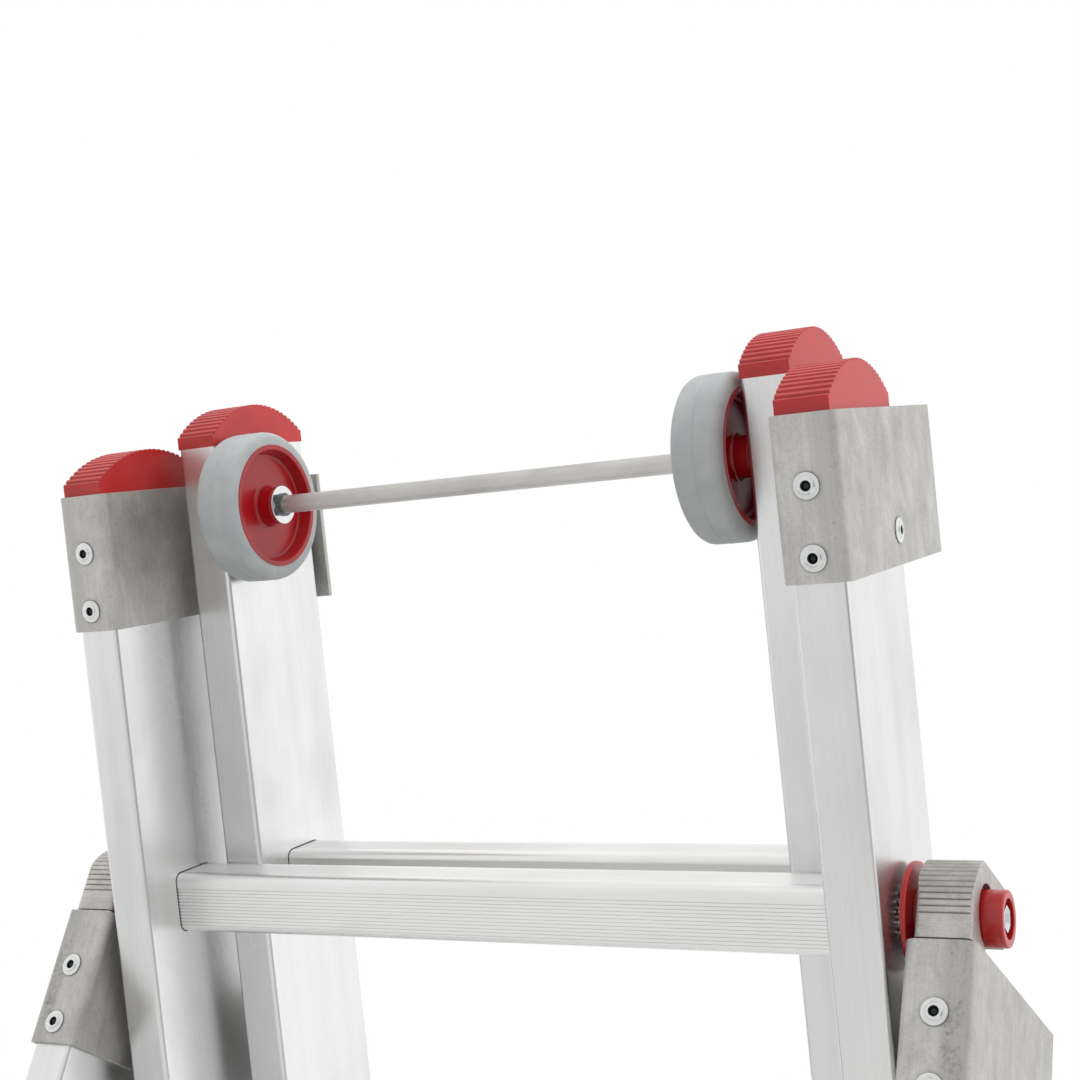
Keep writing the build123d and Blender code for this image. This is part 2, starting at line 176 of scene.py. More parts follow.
def joint_point(name: str) -> Vector:
    """Gives the place of a joint in metres."""
    return Vector(next(joint["pos_m"] for joint in frame["joints"] if joint["name"] == name))


def hinge_point() -> Vector:
    """Gives the middle of the hinge in metres."""
    return joint_point("stay_fold")


@dataclass(frozen=True)
class Finish:
    """A surface with two tones between which it varies.

    Attributes:
        name: what the surface is and how it was made.
        slot: material slot of the record that it dresses; not used.
        dark: darker tone as sRGB hex.
        light: lighter tone as sRGB hex.
        smooth: lowest roughness.
        rough: highest roughness.
    """

    name: str
    slot: str
    dark: str
    light: str
    smooth: float
    rough: float

    def start(self) -> tuple[NodeTree, NodeSocket]:
        """Starts the material.

        Returns:
            The node tree and the coordinates on the piece in metres.
        """
        material = bpy.data.materials.new(self.name)
        material.use_nodes = True
        return material.node_tree, add_node(material.node_tree, "ShaderNodeTexCoord")["Object"]

    def wire(
        self, tree: NodeTree, tone: NodeSocket, shine: NodeSocket, relief: dict[str, NodeSocket | float], **own: float
    ) -> Material:
        """Joins a surface to the material's shader.

        Args:
            tree: node tree of the material.
            tone: base colour.
            shine: factor that runs from smooth to rough.
            relief: inputs of the bump.
            **own: values of the shader's own sockets.

        Returns:
            The finished material.
        """
        shader = tree.nodes["Principled BSDF"].inputs
        fill = {"Value": shine, "To Min": self.smooth, "To Max": self.rough}
        tree.links.new(tone, shader["Base Color"])
        tree.links.new(add_node(tree, "ShaderNodeMapRange", fill)[0], shader["Roughness"])
        tree.links.new(add_node(tree, "ShaderNodeBump", relief)[0], shader["Normal"])
        for name, value in own.items():
            shader[name].default_value = value
        return bpy.data.materials[self.name]

    def tones(self, tree: NodeTree, factor: NodeSocket) -> NodeSocket:
        """Runs from the dark tone to the light one."""
        fill = {0: factor, 6: linear(self.dark), 7: linear(self.light)}
        return add_node(tree, "ShaderNodeMix", fill, data_type="RGBA")[2]

    # Painted shade: an occlusion darkening in the base colour stands in for the shade in hollows and gaps.
    def hollowed(self, tree: NodeTree, tone: NodeSocket, width: float, own: bool = True) -> NodeSocket:
        """Paints shade into a tone in hollows of a width, where shade falls: the piece's own, or also those beside
        others.
        """
        fill = {"Color": tone, "Distance": width * MM}
        return add_node(tree, "ShaderNodeAmbientOcclusion", fill, samples=8, only_local=own)["Color"]

    def material(self) -> Material:
        """Gives the material, made on first use."""
        known = bpy.data.materials.get(self.name)
        return known or self.make()

    def make(self) -> Material:
        """Makes the material's nodes."""
        raise NotImplementedError


@dataclass(frozen=True)
class DrawnAluminium(Finish):
    """Extruded aluminium as it leaves the die: bright, with fine lines along the profile, dull handling marks and
    painted shade in narrow hollows.

    Attributes:
        lean: line of drawing.
        line: width of a die line, drawn coarser than the real one so that it shows.
        run: length over which a line changes.
        smudge: width of a handling mark.
        strength: how much the lines show beside the broader bands.
        groove: width of the grooves that get painted shade, a darkening of the colour where their shade falls.
    """

    lean: Lean = Lean.REAR
    line: float = 1.8
    run: float = 700.0
    smudge: float = 70.0
    strength: float = 0.35
    groove: float = 0.16

    def make(self) -> Material:
        """Makes the material's nodes.

        Returns:
            The material.
        """
        tree, where = self.start()
        upright = add_node(tree, "ShaderNodeMapping", {"Vector": where, "Rotation": self.lean.turn})[0]
        lines = self.lean.grain(tree, upright, self.line, self.run, Detail=2.0)
        bands = self.lean.grain(tree, upright, 12 * self.line, 0.6 * self.run, Detail=2.0)
        fill = {"Detail": 5.0, "Roughness": 0.55, "Distortion": 0.5}
        marks = self.lean.grain(tree, upright, self.smudge, 2.2 * self.smudge, **fill)
        dull = add_node(tree, "ShaderNodeMapRange", {"Value": marks, "From Min": 0.42, "From Max": 0.72})[0]
        faint = add_node(tree, "ShaderNodeMath", {0: lines, 1: self.strength}, operation="MULTIPLY")[0]
        streaks = add_node(tree, "ShaderNodeMath", {0: faint, 1: bands}, operation="ADD")[0]
        fill = {"Value": streaks, "From Min": 0.2, "From Max": 0.8 + self.strength}
        spread = add_node(tree, "ShaderNodeMapRange", fill)[0]
        worn = add_node(tree, "ShaderNodeMath", {0: dull, 1: 0.55}, operation="MULTIPLY")[0]
        shade = add_node(tree, "ShaderNodeMath", {0: spread, 1: worn}, operation="SUBTRACT", use_clamp=True)[0]
        mixed = add_node(tree, "ShaderNodeMath", {0: bands, 1: dull}, operation="ADD")[0]
        blur = add_node(tree, "ShaderNodeMapRange", {"Value": mixed, "From Min": 0.3, "From Max": 1.4})[0]
        # Painted shade: the colour is darkened in the piece's own grooves.
        tone = self.hollowed(tree, self.tones(tree, shade), self.groove)
        relief = {"Height": lines, "Strength": 0.08 * self.strength, "Distance": 0.05 * MM}
        return self.wire(tree, tone, blur, relief, Metallic=1.0)


@dataclass(frozen=True)
class MillSheet(Finish):
    """Rolled aluminium sheet or sawn bar, untreated: cloudy grey with a fine mottle, dark pits, stained folds and
    painted shade in grooves and beside other pieces.

    Attributes:
        lean: line of rolling.
        cloud: width of a cloudy patch.
        line: width of a rolling line, drawn coarser than the real one so that it shows.
        run: length of a rolling line.
        mottle: width of a speck, drawn coarser than the real one so that it shows.
        stain: tone of the oil and stretch marks along a fold, as sRGB hex.
        fold: distances of the stain beside the fold, across the ladder and behind the middle line.
        reach: width of the stain.
        soil: how strongly the stain shows.
        groove: width of the grooves, and of the gaps beside other pieces, that get painted shade.
    """

    lean: Lean = Lean.REAR
    cloud: float = 16.0
    line: float = 0.8
    run: float = 48.0
    mottle: float = 1.7
    stain: str = "#6F6A63"
    fold: Pair = (0.0, 9000.0)
    reach: float = 8.0
    soil: float = 0.3
    groove: float = 1.6

    def make(self) -> Material:
        """Makes the material's nodes.

        Returns:
            The material.
        """
        tree, where = self.start()
        upright = add_node(tree, "ShaderNodeMapping", {"Vector": where, "Rotation": self.lean.turn})[0]
        lines = self.lean.grain(tree, upright, self.line, self.run, Detail=3.0)
        fill = {"Detail": 6.0, "Roughness": 0.65, "Distortion": 0.5}
        clouds = self.lean.grain(tree, upright, self.cloud, 1.5 * self.cloud, **fill)
        fill = {"Vector": upright, "Scale": per(self.mottle), "Detail": 4.0, "Roughness": 0.6}
        mottle = add_node(tree, "ShaderNodeTexNoise", fill)[0]
        fill = {"Value": mottle, "From Min": 0.60, "From Max": 0.70, "To Max": 0.5}
        pits = add_node(tree, "ShaderNodeMapRange", fill)[0]
        grainy = add_node(tree, "ShaderNodeMath", {0: mottle, 1: 0.6, 2: clouds}, operation="MULTIPLY_ADD")[0]
        cloudy = add_node(tree, "ShaderNodeMath", {0: lines, 1: 0.3, 2: grainy}, operation="MULTIPLY_ADD")[0]
        spread = add_node(tree, "ShaderNodeMapRange", {"Value": cloudy, "From Min": 0.58, "From Max": 1.32})[0]
        shade = add_node(tree, "ShaderNodeMath", {0: spread, 1: pits}, operation="SUBTRACT", use_clamp=True)[0]
        bare = self.tones(tree, shade)
        # Oil and dirt stay where the sheet was stretched, so the stain follows the fold and breaks up into specks.
        parts = add_node(tree, "ShaderNodeSeparateXYZ", {0: upright})
        side = add_node(tree, "ShaderNodeMath", {0: parts["X"]}, operation="ABSOLUTE")[0]
        flat = add_node(tree, "ShaderNodeCombineXYZ", {"X": side, "Y": parts["Y"]})[0]
        line = (self.fold[0] * MM, self.fold[1] * MM, 0.0)
        away = add_node(tree, "ShaderNodeVectorMath", {0: flat, 1: line}, operation="DISTANCE")["Value"]
        fill = {"Value": away, "From Min": self.reach * MM, "From Max": 2.0 * MM}
        near = add_node(tree, "ShaderNodeMapRange", fill, interpolation_type="SMOOTHSTEP")[0]
        fill = {"Value": mottle, "From Min": 0.35, "From Max": 0.68, "To Min": 0.2}
        broken = add_node(tree, "ShaderNodeMapRange", fill)[0]
        fill = {"Value": clouds, "From Min": 0.35, "From Max": 0.65, "To Max": self.soil}
        uneven = add_node(tree, "ShaderNodeMapRange", fill)[0]
        dirty = add_node(tree, "ShaderNodeMath", {0: broken, 1: uneven}, operation="MULTIPLY")[0]
        share = add_node(tree, "ShaderNodeMath", {0: near, 1: dirty}, operation="MULTIPLY")[0]
        fill = {0: share, 6: bare, 7: linear(self.stain)}
        stained = add_node(tree, "ShaderNodeMix", fill, data_type="RGBA")[2]
        # Painted shade: darker in the piece's own grooves and near other pieces, such as a painted contact shadow round
        # the rivets' flanges.
        tone = self.hollowed(tree, stained, self.groove, own=False)
        relief = {"Height": cloudy, "Strength": 0.25, "Distance": 0.06 * MM}
        return self.wire(tree, tone, clouds, relief, Metallic=1.0)


@dataclass(frozen=True)
class PlatedSteel(Finish):
    """Coated steel: slightly crystalline, with duller patches and painted shade in its hollows.

    Attributes:
        crystal: width of a crystal of the coat, drawn coarser than the real one so that it shows.
        hollow: width of the hollows that get painted shade.
    """

    crystal: float = 1.6
    hollow: float = 1.5

    def make(self) -> Material:
        """Makes the material's nodes.

        Returns:
            The material.
        """
        tree, where = self.start()
        cells = add_node(tree, "ShaderNodeTexVoronoi", {"Vector": where, "Scale": per(self.crystal)})["Color"]
        fill = {"Vector": where, "Scale": per(4 * self.crystal), "Detail": 4.0}
        patches = add_node(tree, "ShaderNodeTexNoise", fill)[0]
        blend = add_node(tree, "ShaderNodeMix", {0: 0.25, 6: patches, 7: cells}, data_type="RGBA")[2]
        # Painted shade: the colour is darkened in the piece's hollows.
        tone = self.hollowed(tree, self.tones(tree, blend), self.hollow)
        relief = {"Height": patches, "Strength": 0.15, "Distance": 0.05 * MM}
        return self.wire(tree, tone, blend, relief, Metallic=1.0)


@dataclass(frozen=True)
class Moulded(Finish):
    """Moulded plastic or rubber: even colour with soft flow marks, a fine grain from the tool and painted shade in
    grooves.

    Attributes:
        ior: index of refraction.
        flow: width of a flow mark.
        speck: width of the tool's grain, drawn coarser than the real one so that it shows.
        relief: depth of the grain.
        groove: width of the grooves that get painted shade.
    """

    ior: float = 1.49
    flow: float = 24.0
    speck: float = 0.7
    relief: float = 0.05
    groove: float = 2.0

    def make(self) -> Material:
        """Makes the material's nodes.

        Returns:
            The material.
        """
        tree, where = self.start()
        fill = {"Vector": where, "Scale": per(self.flow), "Detail": 4.0, "Distortion": 0.6}
        flow = add_node(tree, "ShaderNodeTexNoise", fill)[0]
        fill = {"Vector": where, "Scale": per(self.speck), "Detail": 2.0}
        specks = add_node(tree, "ShaderNodeTexNoise", fill)[0]
        fine = add_node(tree, "ShaderNodeMath", {0: specks, 1: 0.35}, operation="MULTIPLY")[0]
        both = add_node(tree, "ShaderNodeMath", {0: flow, 1: fine}, operation="ADD")[0]
        shade = add_node(tree, "ShaderNodeMapRange", {"Value": both, "From Min": 0.4, "From Max": 0.95})[0]
        # Painted shade: the colour is darkened in the piece's grooves.
        tone = self.hollowed(tree, self.tones(tree, shade), self.groove)
        relief = {"Height": specks, "Strength": 0.35, "Distance": self.relief * MM}
        return self.wire(tree, tone, flow, relief, IOR=self.ior)


# Extruded 6000 series aluminium, left as drawn: nearly white where it shows the studio, with faint lines and a faint
# painted shade in tight hollows.
STILE = DrawnAluminium("stile drawn aluminium", "stile_aluminium", "#DEDEDE", "#F4F4F4", smooth=0.24, rough=0.40)
STAY_STILE = replace(STILE, name="stay stile drawn aluminium", lean=Lean.STAY)
# The same alloy with a ribbed face: brighter and softer, with long streaks and painted shade in the ribs.
RUNG = DrawnAluminium(
    "rung drawn aluminium", "rung_aluminium", "#F0F0EF", "#FEFEFD", smooth=0.32, rough=0.48, lean=Lean.CROSS,
    line=1.6, run=900.0, smudge=60.0, strength=0.7,
)
# Brushed round bar: an even, dull grey with fine lines along it and a faint painted shade in any hollow.
AXLE = DrawnAluminium(
    "axle brushed aluminium", "axle_aluminium", "#C6C4C1", "#E2E0DD", smooth=0.44, rough=0.56, lean=Lean.CROSS,
    line=0.7, run=60.0, smudge=20.0, strength=0.8,
)
# Sawn aluminium bar: duller than the stiles, with saw marks along the grooves, and painted shade in them and beside
# other pieces.
BLOCK = MillSheet(
    "hinge block sawn bar", "cast_aluminium", "#ACA9A4", "#E6E3DE", smooth=0.50, rough=0.64, lean=Lean.CROSS,
    cloud=9.0, line=0.7, run=14.0, mottle=1.3, groove=0.7,
)
# Bright zinc on steel: pale, shinier than the aluminium round it, with painted shade in its hollows.
ZINC = PlatedSteel("zinc plated steel", "zinc_steel", "#CFD2D1", "#F6F7F6", smooth=0.14, rough=0.28, hollow=2.4)
# The same zinc on a machined bolt: smooth enough to show the studio, with painted shade in the hollows round the head.
BOLT_ZINC = PlatedSteel(
    "zinc plated bolt steel", "zinc_steel", "#B6BABA", "#F0F2F2", smooth=0.08, rough=0.18, crystal=1.0, hollow=3.5
)
# Blackened spring steel: almost black, with a thin oily shine and painted shade in its hollows.
DARK_STEEL = PlatedSteel(
    "blackened spring steel", "zinc_steel", "#1B1D1F", "#45484A", smooth=0.26, rough=0.40, crystal=1.1
)
# Phosphated spring steel: dark grey with a soft metal shine, and painted shade in the lugs' holes.
SPRING_STEEL = PlatedSteel(
    "phosphated spring steel", "zinc_steel", "#44484A", "#86898B", smooth=0.24, rough=0.38, crystal=1.0
)
# Polypropylene from a grained tool: satin, warm red, with painted shade between the ribs.
RED = Moulded(
    "red satin polypropylene", "red_plastic", "#AB1213", "#C12624", smooth=0.34, rough=0.46, ior=1.6, groove=1.2
)
# Polyamide from a polished tool: the same red with a shine, and painted shade in its recess.
RED_BUSH = Moulded(
    "red smooth polyamide", "red_plastic", "#A41415", "#BA2220", smooth=0.20, rough=0.30, ior=1.6, flow=26.0,
    speck=0.9, relief=0.02,
)
# Polyamide in a deeper red: the wheels' rims have a soft gloss and painted shade in their hollows.
RED_GLOSS = Moulded(
    "red gloss polyamide", "red_gloss_plastic", "#92000A", "#AA0814", smooth=0.24, rough=0.34, ior=1.58, flow=30.0,
    speck=0.9, relief=0.02,
)
# Thermoplastic rubber: cool grey, dull, with a trace of the tool's texture and painted shade in its hollows.
RUBBER = Moulded(
    "grey moulded rubber", "grey_rubber", "#A0A4A5", "#B6B9B9", smooth=0.54, rough=0.68, ior=1.5, flow=18.0,
    speck=0.8, relief=0.06,
)


class Corner(NamedTuple):
    """A corner of a turned profile: height along the axis, radius and rounding."""

    height: float
    radius: float
    rounding: float = 0.0


def turned(profile: Sequence[Corner], steps: int = 96) -> BMesh:
    """Turns a profile about the Z axis and rounds its corners.

    Args:
        profile: corners of the section in order; it closes on the axis or on its first corner.
        steps: number of flats round the axis.

    Returns:
        The turned shape.
    """
    shape = bmesh.new()
    points = [shape.verts.new((corner.radius * MM, 0.0, corner.height * MM)) for corner in profile]
    if profile[0].radius > 0:
        points.append(points[0])
    edges = [shape.edges.new(pair) for pair in zip(points, points[1:])]
    bmesh.ops.spin(
        shape, geom=list(dict.fromkeys(points)) + edges, cent=(0, 0, 0), axis=(0, 0, 1), angle=math.tau, steps=steps,
        use_merge=True,
    )
    bmesh.ops.remove_doubles(shape, verts=shape.verts, dist=SEAM * MM)
    bmesh.ops.recalc_face_normals(shape, faces=shape.faces)
    for corner in profile:
        if corner.rounding > 0:
            ring = [edge for edge in shape.edges if all(on_ring(vert, corner) for vert in edge.verts)]
            bmesh.ops.bevel(
                shape, geom=ring, offset=corner.rounding * MM, offset_type="OFFSET", affect="EDGES", segments=4,
                profile=0.5, material=-1,
            )
    return shape


def collar(low: float, high: float, hole: float, radius: float, edges: Pair = (0.0, 0.0)) -> list[Corner]:
    """Gives the profile of a plain ring or bar between two heights, with the roundings of its rims."""
    return [Corner(low, hole), Corner(low, radius, edges[0]), Corner(high, radius, edges[1]), Corner(high, hole)]


def on_ring(vert: BMVert, corner: Corner) -> bool:
    """Tells whether a point lies on the circle that a corner was turned to."""
    radius = math.hypot(vert.co.x, vert.co.y)
    return abs(vert.co.z - corner.height * MM) < NEAR * MM and abs(radius - corner.radius * MM) < NEAR * MM


def hexagon(flats: float, height: float, chamfer: float, dish: float) -> BMesh:
    """Makes a hexagon head that stands on Z with a chamfered top and a dished middle.

    Args:
        flats: width across the flats.
        height: height of the head.
        chamfer: size of the chamfer.
        dish: depth of the dish.

    Returns:
        The head.
    """
    shape = bmesh.new()
    bmesh.ops.create_circle(shape, cap_ends=True, segments=6, radius=flats / math.sqrt(3) * MM)
    grown = bmesh.ops.extrude_face_region(shape, geom=shape.faces[:])["geom"]
    raised = [item for item in grown if isinstance(item, BMVert)]
    top = [item for item in grown if isinstance(item, BMFace)]
    bmesh.ops.translate(shape, verts=raised, vec=(0, 0, height * MM))
    rim, slope = 1.6 * chamfer, 0.6 * chamfer
    bmesh.ops.inset_region(shape, faces=top, thickness=chamfer * MM, depth=0.0)
    bmesh.ops.inset_region(shape, faces=top, thickness=rim * MM, depth=0.0)
    bmesh.ops.translate(shape, verts=top[0].verts[:], vec=(0, 0, -dish * MM))
    outer = [vert for vert in raised if vert.is_valid]
    bmesh.ops.translate(shape, verts=outer, vec=(0, 0, -slope * MM))
    bmesh.ops.recalc_face_normals(shape, faces=shape.faces)
    return shape


def copied(node: str, by: float = 0.0, above: float = 0.0) -> BMesh:
    """Copies a node's solid as one joined skin with whole flat faces, and rounds its sharp edges.

    Args:
        node: name of the CAD node.
        by: size of the rounding, or nothing.
        above: smallest bend of an edge that is rounded, in degrees.

    Returns:
        The copy.
    """
    shape = bmesh.new()
    shape.from_mesh(frame["nodes"][node].data)
    bmesh.ops.remove_doubles(shape, verts=shape.verts, dist=WELD * MM)
    bmesh.ops.dissolve_limit(
        shape, angle_limit=math.radians(FLAT), use_dissolve_boundaries=False, verts=shape.verts, edges=shape.edges,
        delimit=set(),
    )
    if by > 0:
        edges = [edge for edge in shape.edges if edge.is_manifold and edge.calc_face_angle(0.0) > math.radians(above)]
        bmesh.ops.bevel(
            shape, geom=edges, offset=by * MM, offset_type="OFFSET", affect="EDGES", segments=2, profile=0.5,
            material=-1, clamp_overlap=True,
        )
    return shape


def meshed(shape: BMesh, name: str) -> Mesh:
    """Turns a shape into a mesh and lets the shape go.

    Args:
        shape: the finished shape.
        name: name of the mesh.

    Returns:
        The mesh.
    """
    mesh = bpy.data.meshes.new(name)
    shape.to_mesh(mesh)
    shape.free()
    return mesh


def stand(name: str, data: ID) -> Object:
    """Makes an object and puts it in the scene.

    Args:
        name: name of the object.
        data: its mesh, lamp or camera.

    Returns:
        The object.
    """
    item = bpy.data.objects.new(name, data)
    bpy.context.scene.collection.objects.link(item)
    return item


def joined(shapes: list[BMesh]) -> BMesh:
    """Puts several shapes into one.

    Args:
        shapes: the shapes, which are used up.

    Returns:
        The one shape.
    """
    whole = bmesh.new()
    for shape in shapes:
        passing = meshed(shape, "passing")
        whole.from_mesh(passing)
        bpy.data.meshes.remove(passing)
    return whole


def set_in(shape: BMesh, place: Matrix) -> BMesh:
    """Moves a turned shape to its seat and turns its faces outwards again.

    Args:
        shape: the turned shape.
        place: its seat.

    Returns:
        The same shape, in place.
    """
    bmesh.ops.transform(shape, matrix=place, verts=shape.verts)
    bmesh.ops.recalc_face_normals(shape, faces=shape.faces)
    return shape


def fit(
    shape: BMesh, name: str, finish: Finish, body: str, nodes: tuple[str, ...] = (), crease: float = 40.0
) -> None:
    """Makes a piece of a shape, dresses it and hangs it on its body.

    Args:
        shape: the finished shape, in place.
        name: name of the piece.
        finish: surface of the piece.
        body: body that it moves with.
        nodes: CAD nodes that it stands for.
        crease: smallest bend of an edge that stays crisp, in degrees.
    """
    for face in shape.faces:
        face.smooth = True
    for edge in shape.edges:
        edge.smooth = edge.calc_face_angle(0.0) < math.radians(crease)
    mesh = meshed(shape, name)
    mesh.materials.append(finish.material())
    piece = stand(name, mesh)
    even = piece.modifiers.new("even shading", "WEIGHTED_NORMAL")
    even.keep_sharp = True
    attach(piece, body)
    if nodes:
        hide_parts(*nodes)
    log.info("%s: %d faces, %s", name, len(mesh.polygons), finish.name)


def dress(name: str, finish: Finish) -> None:
    """Gives a CAD node its finish.

    Args:
        name: name of the node.
        finish: surface of the node.
    """
    node = frame["nodes"][name]
    node.data.materials.clear()
    node.data.materials.append(finish.material())
    log.info("%s: %s", name, finish.name)


@dataclass
class LadderSection:
    """One of the three sections: two stiles, six rungs, and red plugs in the stiles' ends.

    Attributes:
        name: name of the section.
        stile: finish of its stiles.
        ends: names of its plugs.
        rungs: number of its rungs.
        edge: rounding of a plug's edges.
    """

    name: str
    stile: Finish
    ends: tuple[str, ...]
    rungs: int = 6
    edge: float = 0.3

    @property
    def body(self) -> str:
        """Name of the body that the section is."""
        return f"{self.name}_section"

    def build(self) -> None:
        """Makes the section's pieces."""
        self.dress_stiles()
        self.dress_rungs()
        self.mould_ends()

    def dress_stiles(self) -> None:
        """Gives the stiles rounded shading along their drawn corners."""
        for side in Side:
            node = f"{self.name}_{side.label}_stile"
            fit(copied(node), f"{node}_tube", self.stile, self.body, (node,), crease=50.0)

    def dress_rungs(self) -> None:
        """Gives the rungs rounded shading between their grooves."""
        for number in range(1, self.rungs + 1):
            node = f"{self.name}_rung_{number}"
            fit(copied(node), f"{node}_tube", RUNG, self.body, (node,), crease=35.0)

    def mould_ends(self) -> None:
        """Makes the plugs, with the soft edges of a moulding."""
        for side in Side:
            for end in self.ends:
                node = f"{self.name}_{side.label}_{end}"
                fit(copied(node, self.edge, above=30.0), f"{node}_moulding", RED, self.body, (node,), crease=50.0)


# Section of a blind rivet's head: a low flange with a raised ring round the eye.
RIVET_HEAD = (
    Corner(-0.05, 0.0), Corner(-0.05, 5.6), Corner(0.3, 6.0, 0.15), Corner(0.8, 5.85, 0.25), Corner(0.95, 3.9, 0.4),
    Corner(1.6, 3.5, 0.3), Corner(1.7, 2.4, 0.25), Corner(0.2, 2.0), Corner(0.2, 0.0),
)
# Section of the broken stem in the eye.
RIVET_STEM = (
    Corner(0.21, 0.0), Corner(0.21, 1.97), Corner(1.25, 2.08), Corner(1.15, 1.85, 0.1), Corner(0.4, 1.6),
    Corner(0.8, 1.3, 0.15), Corner(0.7, 0.0),
)


@dataclass
class GuideBrackets:
    """Folded sheets round the stiles' tops, and the blind rivets that hold them.

    Attributes:
        name: name of the section that carries them.
        lean: how that section lies.
        half_width: half the section's width.
        stile_middle: distance of a stile's middle from the ladder's.
        front: distance of the stiles' front behind the hinge.
        top: height of the brackets' top above the hinge.
        skin: distance of the sheet's outside from the stile.
        front_drops: distances of the front rivets below the top.
        side_drop: distance of the side rivet below the top.
        side_back: distance of the side rivet behind the front.
        edge: rounding of the sheet's edges.
        fold_inset: distance of the stain's middle inside the stile's outside.
        soil: how strongly the stain along the folds shows.
    """

    name: str
    lean: Lean
    half_width: float
    stile_middle: float
    front: float
    top: float
    skin: float = 3.1
    front_drops: Pair = (31.0, 62.0)
    side_drop: float = 57.0
    side_back: float = 72.5
    edge: float = 0.35
    fold_inset: float = 4.0
    soil: float = 0.3

    @property
    def body(self) -> str:
        """Name of the body that the brackets move with."""
        return f"{self.name}_section"

    def build(self) -> None:
        """Makes the sheets and the rivets."""
        self.fold_sheets()
        self.set_rivets()

    def fold_sheets(self) -> None:
        """Makes the sheets, with their cut edges broken and their folds stained."""
        middle = self.lean.axes.inverted() @ hinge_point()
        fold = (self.half_width - self.fold_inset, middle.y / MM + self.front - self.skin)
        # Rolled sheet without a coat: matt and cloudy grey, with dark specks where the fold stretched it, and painted
        # shade round the rivets and beside other pieces.
        finish = MillSheet(
            f"{self.name} bracket mill sheet", "sheet_aluminium", "#B1AFAB", "#E5E4E0", smooth=0.56, rough=0.70,
            lean=self.lean, fold=fold, soil=self.soil,
        )
        for side in Side:
            node = f"{self.name}_{side.label}_bracket"
            fit(copied(node, self.edge, above=50.0), f"{node}_sheet", finish, self.body, (node,))

    def set_rivets(self) -> None:
        """Makes the rivets' heads and their broken stems."""
        heads = [set_in(turned(RIVET_HEAD, 40), seat) for seat in self.seats()]
        stems = [set_in(turned(RIVET_STEM, 32), seat) for seat in self.seats()]
        node = f"{self.name}_bracket_rivets"
        fit(joined(heads), f"{self.name}_rivet_heads", ZINC, self.body, (node,))
        fit(joined(stems), f"{self.name}_rivet_stems", DARK_STEEL, self.body)

    def seats(self) -> list[Matrix]:
        """Gives the seats of the rivets on both brackets.

        Returns:
            Matrices that move a rivet turned about Z to its seats.
        """
        seats = []
        for side in Side:
            for drop in self.front_drops:
                spot = (side.value * self.stile_middle, self.front - self.skin, self.top - drop)
                seats.append(self.lean.place(*spot, Vector((0, -1, 0))))
            across = side.value * (self.half_width + self.skin)
            spot = (across, self.front + self.side_back, self.top - self.side_drop)
            seats.append(self.lean.place(*spot, side.outward))
        return seats


